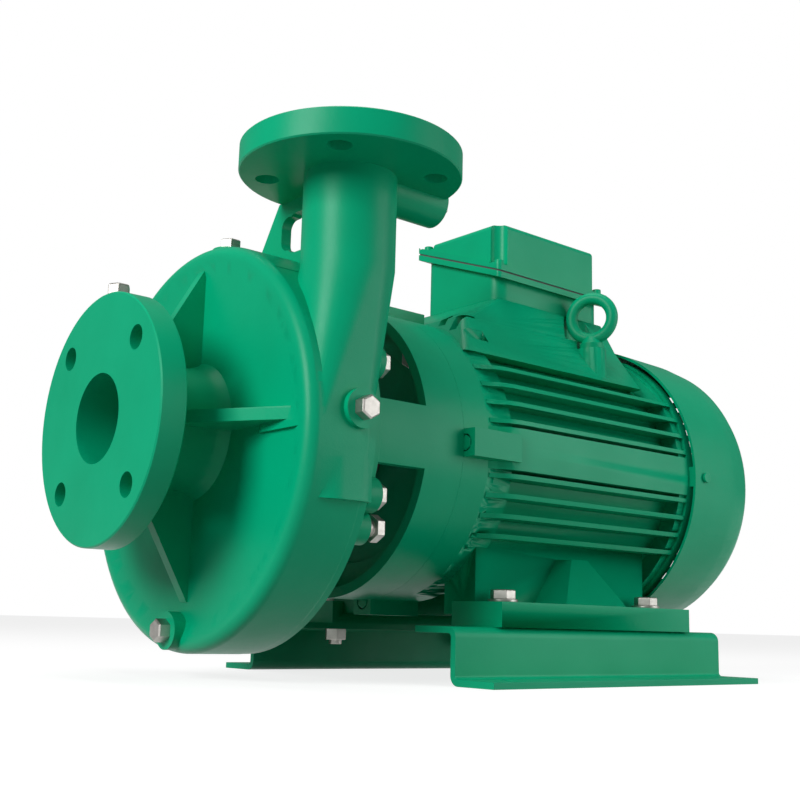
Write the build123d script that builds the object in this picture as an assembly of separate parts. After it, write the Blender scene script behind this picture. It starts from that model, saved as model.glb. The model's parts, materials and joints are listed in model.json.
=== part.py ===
"""Close-coupled centrifugal pump on two channel rails, as an assembly of separate parts.

Millimetres. The origin is the centre of the suction flange face, +X runs along the shaft
from the pump to the motor, +Z is up and the discharge branch stands on the -Y side.
"""
import os
from math import cos, radians, sin, sqrt

from build123d import *

# Clearances
RUN_GAP = 0.05          # radial, turning part in its bore
SEAT_GAP = 0.05         # radial, spigot in its recess
THREAD_GAP = 0.10       # radial, screw in its tapped hole
BOLT_GAP = 0.6          # radial, screw in its plain hole

# Suction branch
SUCTION_OD = 185.0
SUCTION_BORE_R = 33.0
SUCTION_T = 20.0
EYE_TAPER_START = 60.0
SUCTION_PCD = 145.0
NECK_R = 44.0
NECK_ROOT_R = 53.0
FLANGE_HOLE_R = 9.0
FLANGE_HOLES = 4

# Discharge branch
DISCHARGE_X = 130.0
DISCHARGE_Y = -118.5
DISCHARGE_TOP = 203.0
DISCHARGE_OD = 165.0
DISCHARGE_T = 20.0
DISCHARGE_PCD = 125.0
DISCHARGE_BORE_R = 26.0
PIPE_R = 34.4
THROAT_TOP = 112.0
THROAT_LOW = 26.0
THROAT_END = -58.0

# Volute drum, whose centre lies below the shaft
DRUM_R = 154.0
DRUM_DROP = 10.5
DRUM_FRONT = 76.0
DRUM_REAR = 133.0
DRUM_WALL = 9.0
DRUM_FRONT_ROUND = 9.0
DRUM_REAR_ROUND = 8.0
DISH_DEPTH = 4.0
DISH_OUTER_R = 143.0
DISH_INNER_R = 131.0
REGISTER_R = 138.0
REGISTER_FACE = 148.0
COVER_BORE_R = 106.0
COLLECTOR_FRONT = 89.0
COLLECTOR_REAR = 125.0
RIB_T = 9.0
RIB_START = 32.0
RIB_TIP_R = 127.0

# Plugs with hexagon heads
PLUG_R = 6.5
PLUG_AF = 15.0
PLUG_HEAD = 9.0
PLUG_DEPTH = 10.0
BOSS_R = 14.0
TAP_BOSS_R = 17.5
VENT_X = 103.0
VENT_TOP = 148.0
SIDE_PLUG_X = 118.0
SIDE_PLUG_Z = 4.5
SIDE_FACE = 158.0
DRAIN_Y = 8.0
DRAIN_Z = -148.0
DRAIN_FACE = 70.0
SPOT_R = SUCTION_OD / 2 - 0.5
SUCTION_PLUG_X = 10.0

# Impeller
IMPELLER_R = 100.0
EYE_R = 35.0
EYE_RING_R = 41.0
IMPELLER_FRONT = 83.0
OUTLET_FRONT = 101.0
OUTLET_WIDTH = 10.0
SHROUD_T = 4.0
HUB_R = 21.0
HUB_END = 128.0
VANES = 6
VANE_T = 3.5
WEAR_RING_OUT_R = 48.0
WEAR_RING_END = 92.0

# Casing cover and lantern
COVER_FLANGE_R = 119.0
COVER_FLANGE_T = 6.0
COVER_PLATE_FRONT = 132.0
GASKET_T = 1.0
SEAL_BORE_R = 27.0
LANTERN_FLANGE_R = 126.0
LANTERN_FLANGE_T = 12.0
LANTERN_R = 120.0
LANTERN_WALL = 8.0
WINDOW_END = 210.0
ARM_HALF = 24.0
CASING_BOLTS = 8
CASING_BOLT_PCR = 127.0
EAR_R = 13.0
FORCING_PROUD = 9.0
M12_R = 6.0
M12_AF = 18.0
M12_HEAD = 7.5
M10_R = 5.0
M10_AF = 16.0
M10_HEAD = 6.4
SCREW_DEPTH = 18.0

# Motor
MOTOR_FACE = 248.0
SPIGOT_R = 90.0
SPIGOT_DEPTH = 6.0
MOTOR_BOLT_PCR = 102.0
SHIELD_END = 275.0
BODY_END = 520.0
BODY_R = 112.0
BODY_IN_R = 93.0
FIN_TIP_R = 130.0
FIN_T = 3.6
FIN_PITCH = 15.5
FIN_FIRST = 22.0
FINS_PER_QUARTER = 4
FIN_START = 292.0
BULGE_HALF = 17.0
LUG_HALF = 11.0
LUG_R = 132.0
LUG_END = 285.0
LUG_SCREW_LENGTH = 42.0
END_BELL_END = 534.0
COVER_FRONT = 523.0
COVER_REAR = 619.0
COVER_R = 136.4
COVER_REAR_R = 125.0
COVER_WALL = 2.5
COVER_FIT_R = COVER_R - COVER_WALL - SEAT_GAP
COVER_SCREW_X = 538.0
BELL_SCREW_PCR = 102.0
GRILLE_SLOT = 6.0

# Shaft steps
SHAFT_TIP = 78.0
SHAFT_END = COVER_REAR - 27.0
TIP_R = 8.0
SEAT_R = 12.0
KEY_X0 = 98.0
KEY_X1 = 122.0
KEY_W = 6.0
KEY_TOP = SEAT_R + 2.8
KEY_FLOOR = SEAT_R - 3.5
SEAL_R = 16.0
STUB_R = 19.0
DRIVE_BEARING_R = 20.0
CORE_SEAT_R = 24.0
REAR_BEARING_R = 15.0
FAN_SEAT_R = 14.0
DRIVE_BEARING_X = 255.0
REAR_BEARING_X = 510.0
BEARING_W = 20.0
DRIVE_BEARING_OUT = 44.0
REAR_BEARING_OUT = 34.0
RACE_T = 7.0
ROTOR_R = 62.0
AIR_GAP = 0.6
CORE_FRONT = 318.0
CORE_REAR = 470.0
WINDING_LENGTH = 26.0
FAN_R = 112.0
FAN_FRONT = COVER_REAR - 71.0
FAN_WIDTH = 34.0
FAN_BLADES = 7

# Terminal box and eye bolt
BOX_X0 = 354.0
BOX_X1 = 493.0
BOX_HALF = 50.0
BOX_BOTTOM = 150.0
BOX_TOP = 223.0
SEAM_Z = 194.0
SEAM_RISE = 15.0
BOX_WALL = 4.0
BOX_RIM = 6.0
BOX_GASKET = 1.5
LIP_T = 5.0
BOX_SCREW_IN = 2.0
BOX_SCREW_R = 2.2
BOX_POCKET_R = 7.5
EYE_X = 453.0
EYE_Y = -74.0
EYE_SEAT = 116.0
EYE_BOSS_R = 13.0
EYE_RING_OUT = 25.0
EYE_RING_IN = 14.0
EYE_TILT = 38.0

# Saddle under the terminal box: (x0, x1, half width, z) from the motor up
PAD_LOW = 84.0
PAD_CORNER = 6.0
PAD_LEVELS = (
    (276.0, 508.0, 90.0, PAD_LOW),
    (298.0, 504.0, 63.0, 122.0),
    (BOX_X0 - 3, BOX_X1 + 3, BOX_HALF + 2, BOX_BOTTOM),
)

# Feet and rails
FOOT_X0 = 277.0
FOOT_X1 = 512.0
FOOT_Y = 134.0
FOOT_IN_Y = 78.0
FOOT_TOP = -120.0
FOOT_BOTTOM = -139.5
FOOT_BOLT_X = (304.0, 484.0)
FOOT_BOLT_Y = 108.0
RAIL_X0 = 229.0
RAIL_X1 = 555.0
RAIL_T = 5.0
RAIL_TOP_IN = 45.0
RAIL_FOOT_OUT = 40.0
RAIL_BEND = 8.0
FLOOR_Z = -182.5
ANCHOR_X = (262.0, 522.0)
ANCHOR_R = 7.0
WASHER_R = 12.0
WASHER_T = 2.5

PARTS = {}


def keep(name, shape):
    PARTS[name] = shape
    return shape


def block(x, y, z):
    """Box between limits, each given as (low, high)."""
    size = [high - low for low, high in (x, y, z)]
    middle = [(high + low) / 2 for low, high in (x, y, z)]
    return Pos(*middle) * Box(*size)


def rod_x(r, x0, x1, y=0.0, z=0.0):
    return Pos((x0 + x1) / 2, y, z) * Rot(0, 90, 0) * Cylinder(r, x1 - x0)


def rod_y(r, x, y0, y1, z):
    return Pos(x, (y0 + y1) / 2, z) * Rot(90, 0, 0) * Cylinder(r, abs(y1 - y0))


def rod_z(r, x, y, z0, z1):
    return Pos(x, y, (z0 + z1) / 2) * Cylinder(r, z1 - z0)


def ring_x(r_out, r_in, x0, x1):
    return rod_x(r_out, x0, x1) - rod_x(r_in, x0 - 1, x1 + 1)


def turned(*points):
    """Solid of revolution about the shaft from (x, radius) corners."""
    return revolve(Plane.XZ * Polygon(*points, align=None), Axis.X)


def around(radius, count, start):
    """(y, z) places on a circle about the shaft, the first at start degrees from +Y."""
    turns = [radians(start + 360.0 * i / count) for i in range(count)]
    return [(radius * cos(t), radius * sin(t)) for t in turns]


def pointing(x, y, z, direction):
    """Frame whose Z runs along direction from the given point."""
    return Location(Plane(origin=(x, y, z), z_dir=direction))


def hex_screw(place, r, length, across, head):
    """Hexagon head above the place, shank below it."""
    top = extrude(RegularPolygon(across / 2, 6, major_radius=False), head)
    top = chamfer(top.faces().sort_by(Axis.Z)[-1].edges(), head * 0.12)
    return place * (top + Pos(0, 0, -length / 2) * Cylinder(r, length))


def plug(place):
    return hex_screw(place, PLUG_R, PLUG_DEPTH, PLUG_AF, PLUG_HEAD)


def plug_hole(place):
    return place * Pos(0, 0, -PLUG_DEPTH / 2 - 0.5) * Cylinder(PLUG_R + THREAD_GAP, PLUG_DEPTH + 1)


# Places shared by a plug and the boss that it screws into
SUCTION_TAP = pointing(SUCTION_PLUG_X, 0, SPOT_R, (0, 0, 1))
DISCHARGE_TAP_Z = DISCHARGE_TOP - DISCHARGE_T
DISCHARGE_TAP_X = DISCHARGE_X + DISCHARGE_OD / 2
DISCHARGE_TAP = pointing(DISCHARGE_TAP_X, DISCHARGE_Y, DISCHARGE_TAP_Z, (1, 0, 0))
VENT_TAP = pointing(VENT_X, 0, VENT_TOP, (0, 0, 1))
SIDE_TAP = pointing(SIDE_PLUG_X, -SIDE_FACE, SIDE_PLUG_Z, (0, -1, 0))
DRAIN_TAP = pointing(DRAIN_FACE, DRAIN_Y, DRAIN_Z, (-1, 0, 0))
CASING_BOLT_PLACES = around(CASING_BOLT_PCR, CASING_BOLTS, 22.5)
FORCING_PLACES = around(CASING_BOLT_PCR, 2, 34)
MOTOR_BOLT_PLACES = around(MOTOR_BOLT_PCR, 4, 45)
BELL_SCREW_PLACES = around(BELL_SCREW_PCR, 4, 45)
COVER_FACE = REGISTER_FACE + GASKET_T
LANTERN_FACE = REGISTER_FACE
LANTERN_BACK = LANTERN_FACE + LANTERN_FLANGE_T


def drum_blank():
    """Drum with its rounded edges and the shallow dish of its front face."""
    drum = rod_x(DRUM_R, DRUM_FRONT, DRUM_REAR)
    ends = drum.edges().filter_by(GeomType.CIRCLE).sort_by(Axis.X)
    drum = fillet(ends[0], DRUM_FRONT_ROUND)
    rear = drum.edges().filter_by(GeomType.CIRCLE).sort_by(Axis.X)[-1]
    drum = fillet(rear, DRUM_REAR_ROUND)
    floor = DRUM_FRONT + DISH_DEPTH
    dish = turned((DRUM_FRONT - 1, 0), (DRUM_FRONT - 1, DISH_OUTER_R + 1),
                  (DRUM_FRONT, DISH_OUTER_R), (floor, DISH_INNER_R), (floor, 0))
    return Pos(0, 0, -DRUM_DROP) * (drum - dish)


def throat(wall):
    """Throat from the drum's side up to the round branch, inset by the wall."""
    low_x0 = DRUM_FRONT + 6 + wall
    low_x1 = REGISTER_FACE - wall
    low_y = -DRUM_R + 1 + wall
    width = 68.0 - 2 * wall
    corner = 26.0 - wall * 0.6
    middle = ((low_x0 + low_x1) / 2, low_y + width / 2)
    base = Pos(*middle, THROAT_LOW) * RectangleRounded(low_x1 - low_x0, width, corner)
    round_r = PIPE_R if wall == 0 else DISCHARGE_BORE_R
    top = Pos(DISCHARGE_X, DISCHARGE_Y, THROAT_TOP) * Circle(round_r)
    return loft([base, top]), base


def front_rib(turn):
    """Gusset between the neck and the drum's front face."""
    floor = DRUM_FRONT + DISH_DEPTH + 1
    low = NECK_R - 6
    outline = Polygon((RIB_START, low), (RIB_START, NECK_R + 0.5), (floor - 2, RIB_TIP_R),
                      (floor, RIB_TIP_R), (floor, low), align=None)
    rib = extrude(Plane.XZ * outline, RIB_T / 2, both=True)
    return Rot(turn, 0, 0) * rib


def flange_holes_x(shape):
    for y, z in around(SUCTION_PCD / 2, FLANGE_HOLES, 45):
        shape -= rod_x(FLANGE_HOLE_R, -1, SUCTION_T + 1, y, z)
    return shape


def volute_casing():
    neck_end = DRUM_FRONT + DISH_DEPTH + 1
    body = drum_blank()
    body += rod_x(REGISTER_R, DRUM_REAR - 12, REGISTER_FACE)
    body += turned((SUCTION_T - 1, 0), (SUCTION_T - 1, NECK_R + 3), (SUCTION_T + 5, NECK_R),
                   (neck_end - 12, NECK_R + 3), (neck_end - 4, NECK_R + 6),
                   (neck_end, NECK_ROOT_R), (neck_end, 0))
    rim = rod_x(SUCTION_OD / 2, 0, SUCTION_T)
    body += chamfer(rim.edges().filter_by(GeomType.CIRCLE), 1.0)
    for turn in (0, 90, 180, 270):
        body += front_rib(turn)

    skin, base = throat(0)
    body += skin
    body += extrude(base, THROAT_END - THROAT_LOW)
    flange_z = DISCHARGE_TOP - DISCHARGE_T
    body += rod_z(PIPE_R, DISCHARGE_X, DISCHARGE_Y, THROAT_TOP, flange_z + 1)
    rim = rod_z(DISCHARGE_OD / 2, DISCHARGE_X, DISCHARGE_Y, flange_z, DISCHARGE_TOP)
    body += chamfer(rim.edges().filter_by(GeomType.CIRCLE), 1.0)
    body += branch_web(flange_z)
    body += rod_x(TAP_BOSS_R, DISCHARGE_X, DISCHARGE_TAP_X, DISCHARGE_Y, DISCHARGE_TAP_Z)
    body += rod_z(BOSS_R, VENT_X, 0, VENT_TOP - 20, VENT_TOP)
    body += rod_y(BOSS_R, SIDE_PLUG_X, -SIDE_FACE + 18, -SIDE_FACE, SIDE_PLUG_Z)
    body += rod_x(BOSS_R, DRAIN_FACE, DRUM_FRONT + 16, DRAIN_Y, DRAIN_Z)

    body -= rod_x(CASING_BOLT_PCR + EAR_R + 2, REGISTER_FACE, REGISTER_FACE + 40)
    body -= collector_space()
    body -= rod_x(COVER_BORE_R, COLLECTOR_REAR - 1, REGISTER_FACE + 1)
    body -= rod_x(SUCTION_BORE_R, -1, EYE_TAPER_START + 1)
    body -= turned((EYE_TAPER_START, 0), (EYE_TAPER_START, SUCTION_BORE_R), (IMPELLER_FRONT, EYE_R),
                   (IMPELLER_FRONT, 0))
    body -= rod_x(WEAR_RING_OUT_R + SEAT_GAP, DRUM_FRONT + DISH_DEPTH + 2, COLLECTOR_FRONT + 1)
    body -= rod_z(DISCHARGE_BORE_R, DISCHARGE_X, DISCHARGE_Y, THROAT_TOP, DISCHARGE_TOP + 1)
    body = flange_holes_x(body)
    for x, y in around(DISCHARGE_PCD / 2, FLANGE_HOLES, 45):
        place = (DISCHARGE_X + x, DISCHARGE_Y + y)
        body -= rod_z(FLANGE_HOLE_R, *place, flange_z - 1, DISCHARGE_TOP + 1)
    body -= rod_z(BOSS_R - 3, SUCTION_PLUG_X, 0, SPOT_R, SPOT_R + 4)
    for place in (SUCTION_TAP, DISCHARGE_TAP, VENT_TAP, SIDE_TAP, DRAIN_TAP):
        body -= plug_hole(place)
    for y, z in CASING_BOLT_PLACES:
        body -= rod_x(M12_R + THREAD_GAP, REGISTER_FACE - SCREW_DEPTH, REGISTER_FACE + 1, y, z)
    return body


def branch_web(flange_z):
    """Pierced web that ties the discharge flange to the drum."""
    outline = Polygon((-95, flange_z + 1), (-33, flange_z + 1), (-10, 148), (-10, 125),
                      (-95, 105), align=None)
    outline -= Pos(-48, 157) * RectangleRounded(20, 27, 8)
    face = Plane(origin=(DISCHARGE_X - RIB_T / 2, 0, 0), x_dir=(0, 1, 0), z_dir=(1, 0, 0)) * outline
    return extrude(face, RIB_T, dir=(1, 0, 0))


def collector_space():
    """Collecting chamber round the impeller, with the cutwater left standing."""
    inner = DRUM_R - DRUM_WALL
    space = rod_x(inner, COLLECTOR_FRONT, COLLECTOR_REAR)
    rims = space.edges().filter_by(GeomType.CIRCLE)
    space = Pos(0, 0, -DRUM_DROP) * fillet(rims, 6)
    passage, base = throat(DRUM_WALL)
    gap = IMPELLER_R + 7
    tongue = Polygon((-83, 70), (-93, 92), (-93, 150), (-38, 150), (-38, 106), (-60, 95),
                     align=None)
    tongue -= Circle(gap)
    face = Plane(origin=(COLLECTOR_FRONT - 2, 0, 0), x_dir=(0, 1, 0), z_dir=(1, 0, 0)) * tongue
    space -= extrude(face, COLLECTOR_REAR - COLLECTOR_FRONT + 4, dir=(1, 0, 0))
    space += passage
    space += extrude(base, -THROAT_LOW - 12)
    return space


def wear_ring():
    front = DRUM_FRONT + DISH_DEPTH + 2
    return ring_x(WEAR_RING_OUT_R, EYE_RING_R + 0.3, front, WEAR_RING_END)


def vane_line(start_turn):
    """Backward-curved centre line of a vane, hub to rim, as (y, z) places."""
    inner_r = HUB_R + 12.0
    sweep = 105.0
    steps = 6
    places = []
    for i in range(steps + 1):
        share = i / steps
        r = inner_r + (IMPELLER_R - 1.0 - inner_r) * share
        turn = radians(start_turn - sweep * share ** 0.8)
        places.append((r * cos(turn), r * sin(turn)))
    return places


def impeller():
    """Closed impeller: front shroud with its eye ring, rear shroud with its hub, vanes."""
    outlet_rear = OUTLET_FRONT + OUTLET_WIDTH
    front = turned((IMPELLER_FRONT, EYE_R), (IMPELLER_FRONT, EYE_RING_R),
                   (WEAR_RING_END + 2, EYE_RING_R), (OUTLET_FRONT - SHROUD_T, IMPELLER_R * 0.7),
                   (OUTLET_FRONT - SHROUD_T + 1, IMPELLER_R), (OUTLET_FRONT, IMPELLER_R),
                   (OUTLET_FRONT - 1, IMPELLER_R * 0.68), (WEAR_RING_END + 4, EYE_R + 2),
                   (WEAR_RING_END, EYE_R))
    rear = turned((outlet_rear, IMPELLER_R), (outlet_rear + SHROUD_T, IMPELLER_R),
                  (outlet_rear + SHROUD_T + 1, HUB_R + 4), (HUB_END, HUB_R), (HUB_END, SEAT_R),
                  (95, SEAT_R), (95, SEAT_R + 5), (outlet_rear - 6, HUB_R + 3),
                  (outlet_rear, HUB_R + 14))
    envelope = turned((WEAR_RING_END, HUB_R + 10), (WEAR_RING_END + 4, EYE_R + 3),
                      (OUTLET_FRONT - 0.5, IMPELLER_R * 0.68), (OUTLET_FRONT + 0.5, IMPELLER_R),
                      (outlet_rear + 1, IMPELLER_R), (outlet_rear + 1, HUB_R + 10))
    profile = Plane(origin=(WEAR_RING_END, 0, 0), x_dir=(0, 1, 0), z_dir=(1, 0, 0))
    vanes = []
    for i in range(VANES):
        path = Spline(*vane_line(360.0 * i / VANES))
        band = trace(path, VANE_T)
        vanes.append(extrude(profile * band, outlet_rear + 1 - WEAR_RING_END, dir=(1, 0, 0)) & envelope)
    body = front + rear
    for vane in vanes:
        body += vane
    body -= key_space()
    return body


def key_space():
    half = KEY_W / 2
    return block((90, HUB_END + 1), (-half, half), (0, KEY_TOP + 0.1)) - rod_x(KEY_FLOOR, 80, 140)


def shaft():
    body = turned((SHAFT_TIP, 0), (SHAFT_TIP, TIP_R), (94.5, TIP_R), (94.5, SEAT_R),
                  (HUB_END, SEAT_R), (HUB_END, SEAL_R), (178, SEAL_R), (178, STUB_R),
                  (DRIVE_BEARING_X, STUB_R), (DRIVE_BEARING_X, DRIVE_BEARING_R),
                  (CORE_FRONT - 14, DRIVE_BEARING_R), (CORE_FRONT - 14, CORE_SEAT_R),
                  (CORE_REAR + 14, CORE_SEAT_R), (CORE_REAR + 14, REAR_BEARING_R),
                  (FAN_FRONT - 4, REAR_BEARING_R), (FAN_FRONT - 4, FAN_SEAT_R),
                  (SHAFT_END, FAN_SEAT_R), (SHAFT_END, 0))
    half = KEY_W / 2
    slot = block((KEY_X0, KEY_X1), (-half, half), (KEY_FLOOR, SEAT_R + 1))
    return body - slot


def shaft_key():
    half = KEY_W / 2
    return block((KEY_X0, KEY_X1), (-half, half), (KEY_FLOOR, KEY_TOP))


def impeller_nut():
    """Hexagon nut with a rounded nose, on the threaded shaft tip."""
    flats = Plane(origin=(84, 0, 0), z_dir=(1, 0, 0)) * RegularPolygon(12, 6, major_radius=False)
    body = extrude(flats, 94.5 - 84)
    body += turned((SHAFT_TIP - 5, 0), (SHAFT_TIP - 3.5, 6), (SHAFT_TIP, 10), (84, 11.5), (84, 0))
    return body - rod_x(TIP_R, SHAFT_TIP, 95)


def mechanical_seal():
    """Rotating ring, spring retainer and stationary ring, stacked on the seal seat."""
    keep("seal_retainer", ring_x(24, SEAL_R, HUB_END, HUB_END + 4))
    spring = turned((HUB_END + 4, SEAL_R + 2), (HUB_END + 4, 22), (140, 22), (140, SEAL_R + 2))
    grooves = [ring_x(23, 20.5, x, x + 1.2) for x in (134, 136.4)]
    for groove in grooves:
        spring -= groove
    keep("seal_spring", spring)
    keep("seal_rotating_ring", ring_x(23, SEAL_R, 140, 146))
    seat = ring_x(22, SEAL_R + 1.0, 146, 149) + ring_x(SEAL_BORE_R - SEAT_GAP, SEAL_R + 1.0, 149, 157)
    keep("seal_stationary_ring", seat)


def casing_cover():
    """Back plate that closes the casing and holds the seal seat."""
    rear = COVER_FACE + COVER_FLANGE_T
    body = turned((COVER_PLATE_FRONT, SEAL_BORE_R + 8), (COVER_PLATE_FRONT, COVER_BORE_R - 6),
                  (COVER_PLATE_FRONT + 2, COVER_BORE_R - SEAT_GAP),
                  (COVER_FACE, COVER_BORE_R - SEAT_GAP),
                  (COVER_FACE, COVER_FLANGE_R), (rear, COVER_FLANGE_R), (rear, 96),
                  (COVER_PLATE_FRONT + 10, 88), (COVER_PLATE_FRONT + 10, 44), (157, 40),
                  (160, 38), (160, SEAL_R + 3), (157, SEAL_R + 3), (157, SEAL_BORE_R),
                  (COVER_PLATE_FRONT + 6, SEAL_BORE_R))
    return body


def lantern():
    """Open bracket between pump and motor, with two side arms and closed rear ring."""
    flange = Plane.YZ * Circle(LANTERN_FLANGE_R)
    body = extrude(Pos(LANTERN_FACE, 0, 0) * flange, LANTERN_FLANGE_T)
    for y, z in CASING_BOLT_PLACES + FORCING_PLACES:
        body += rod_x(EAR_R, LANTERN_FACE, LANTERN_BACK, y, z)
    body += rod_x(LANTERN_R, LANTERN_FACE, MOTOR_FACE)
    body -= rod_x(LANTERN_R - LANTERN_WALL, LANTERN_BACK, MOTOR_FACE - LANTERN_FLANGE_T)
    body -= rod_x(COVER_BORE_R, LANTERN_FACE - 1, LANTERN_BACK + 1)
    recess = COVER_FLANGE_R + SEAT_GAP
    body -= rod_x(recess, LANTERN_FACE - 1, COVER_FACE + COVER_FLANGE_T)
    body -= rod_x(SPIGOT_R + SEAT_GAP, MOTOR_FACE - LANTERN_FLANGE_T - 1, MOTOR_FACE + 1)
    for side in (1, -1):
        low, high = sorted((side * ARM_HALF, side * (LANTERN_R + 20)))
        body -= block((LANTERN_BACK, WINDOW_END), (-LANTERN_R - 20, LANTERN_R + 20), (low, high))
    for y, z in CASING_BOLT_PLACES:
        body -= rod_x(M12_R + BOLT_GAP, LANTERN_FACE - 1, LANTERN_BACK + 1, y, z)
    for y, z in MOTOR_BOLT_PLACES:
        body -= rod_x(M10_R + BOLT_GAP, MOTOR_FACE - 20, MOTOR_FACE + 1, y, z)
    for y, z in FORCING_PLACES:
        body -= rod_x(M12_R + THREAD_GAP, LANTERN_FACE - 1, LANTERN_BACK + 1, y, z)
    return body


def deflector_ring():
    """Rubber thrower ring on the shaft, just ahead of the motor end."""
    back = MOTOR_FACE - SPIGOT_DEPTH - 0.5
    return turned((back - 9, STUB_R), (back - 9, STUB_R + 5), (back - 5, STUB_R + 5),
                  (back, STUB_R + 9), (back, STUB_R + 7), (back - 3, STUB_R + 3),
                  (back, STUB_R + 3), (back, STUB_R))


def screws_x(name, places, face, r, length, across, head, direction):
    group = [hex_screw(pointing(face, y, z, (direction, 0, 0)), r, length, across, head)
             for y, z in places]
    keep(name, Compound(children=group))


def lug_places():
    return around(LUG_R - LUG_HALF, 4, 0)


def drive_end_shield():
    """Front motor end: face and spigot for the lantern, bearing seat, four screw lugs."""
    body = rod_x(LANTERN_R, MOTOR_FACE, SHIELD_END)
    body += rod_x(SPIGOT_R, MOTOR_FACE - SPIGOT_DEPTH, MOTOR_FACE + 1)
    body += rod_x(DRIVE_BEARING_OUT + 9, MOTOR_FACE, SHIELD_END + 8)
    for turn in (0, 90, 180, 270):
        lug = block((MOTOR_FACE, SHIELD_END), (-LUG_HALF, LUG_HALF), (LANTERN_R - 12, LUG_R))
        body += Rot(turn, 0, 0) * lug
    body -= ring_x(BODY_IN_R - 10, DRIVE_BEARING_OUT + 9, MOTOR_FACE + 10, SHIELD_END + 1)
    body -= ring_x(LANTERN_R - 6, BODY_IN_R - 4, MOTOR_FACE + 10, SHIELD_END - 9)
    body -= rod_x(DRIVE_BEARING_OUT + SEAT_GAP, DRIVE_BEARING_X, SHIELD_END + 9)
    body -= rod_x(STUB_R + 0.5, MOTOR_FACE - 20, SHIELD_END)
    body -= [rod_x(M10_R + THREAD_GAP, MOTOR_FACE - 1, MOTOR_FACE + 22, y, z)
             for y, z in MOTOR_BOLT_PLACES]
    for y, z in lug_places():
        body -= rod_x(7.0, MOTOR_FACE - 1, MOTOR_FACE + 9, y, z)
        body -= rod_x(M10_R - 1 + BOLT_GAP, MOTOR_FACE, SHIELD_END + 1, y, z)
    return body


def fin_band(z):
    """One fin level: a plate through the housing, trimmed to the round envelope."""
    return block((SHIELD_END + 2, BODY_END), (-FIN_TIP_R, FIN_TIP_R), (z - FIN_T / 2, z + FIN_T / 2))


def fin_envelope():
    """Outline that the fins fill: it grows from the front ring to full height."""
    return turned((SHIELD_END, 0), (SHIELD_END, LANTERN_R), (FIN_START - 8, LANTERN_R + 3),
                  (FIN_START, FIN_TIP_R - 2), (FIN_START + 12, FIN_TIP_R), (BODY_END, FIN_TIP_R),
                  (BODY_END, 0))


def motor_housing():
    """Finned stator housing with top pad, side bulges, feet and lug ends."""
    body = rod_x(BODY_R, SHIELD_END, BODY_END)
    body += rod_x(LANTERN_R, SHIELD_END, SHIELD_END + 8)
    body += rod_x(FIN_TIP_R - 3, BODY_END - 8, BODY_END)
    levels = [FIN_FIRST + FIN_PITCH * i for i in range(FINS_PER_QUARTER)]
    fins = [fin_band(side * z) for z in levels for side in (1, -1)]
    bulges = [block((SHIELD_END, BODY_END), (-FIN_TIP_R, FIN_TIP_R), (-BULGE_HALF, BULGE_HALF))]
    body += [fin & fin_envelope() for fin in fins + bulges]
    for turn in (0, 90, 180, 270):
        lug = block((SHIELD_END, LUG_END), (-LUG_HALF, LUG_HALF), (LANTERN_R - 20, LUG_R))
        body += Rot(turn, 0, 0) * lug
    body += box_pad()
    body -= rod_z(EYE_BOSS_R + 1, EYE_X, EYE_Y, EYE_SEAT, BOX_BOTTOM)
    for side in (1, -1):
        body += foot(side)
    body -= rod_x(BODY_IN_R, SHIELD_END - 1, BODY_END + 1)
    for y, z in lug_places():
        body -= rod_x(M10_R - 1 + THREAD_GAP, SHIELD_END - 1, SHIELD_END + 22, y, z)
    for y, z in BELL_SCREW_PLACES:
        body -= rod_x(M10_R - 1 + THREAD_GAP, BODY_END - 20, BODY_END + 1, y, z)
    for x in FOOT_BOLT_X:
        for side in (1, -1):
            body -= rod_z(M12_R + BOLT_GAP, x, side * FOOT_BOLT_Y, FOOT_BOTTOM - 1, FOOT_TOP + 1)
    body -= rod_z(M12_R + THREAD_GAP, EYE_X, EYE_Y, EYE_SEAT - 16, EYE_SEAT + 1)
    return body


def box_pad():
    """Saddle that carries the terminal box, and the boss of the eye bolt on its end."""
    low, waist, top = [Pos((x0 + x1) / 2, 0, z) * RectangleRounded(x1 - x0, 2 * half, PAD_CORNER)
                       for x0, x1, half, z in PAD_LEVELS]
    pad = loft([low, waist], ruled=True) + loft([waist, top], ruled=True)
    boss = rod_z(EYE_BOSS_R, EYE_X, EYE_Y, PAD_LOW, EYE_SEAT)
    return pad + boss


def foot(side):
    """Motor foot: pad under the housing, upright webs and the pyramid gusset."""
    y = sorted((side * FOOT_IN_Y, side * FOOT_Y))
    pad = block((FOOT_X0, FOOT_X1), y, (FOOT_BOTTOM, FOOT_TOP))
    inner = sorted((side * (FOOT_IN_Y - 22), side * (FOOT_IN_Y + 14)))
    web = block((FOOT_X0 + 12, FOOT_X1 - 12), inner, (FOOT_TOP - 10, -70))
    middle = (FOOT_X0 + FOOT_X1) / 2
    base = Pos(middle, side * 100, FOOT_TOP) * Rectangle(76, 56)
    tip = Pos(middle, side * 92, -82) * Rectangle(20, 34)
    return pad + web + loft([base, tip], ruled=True)


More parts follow.
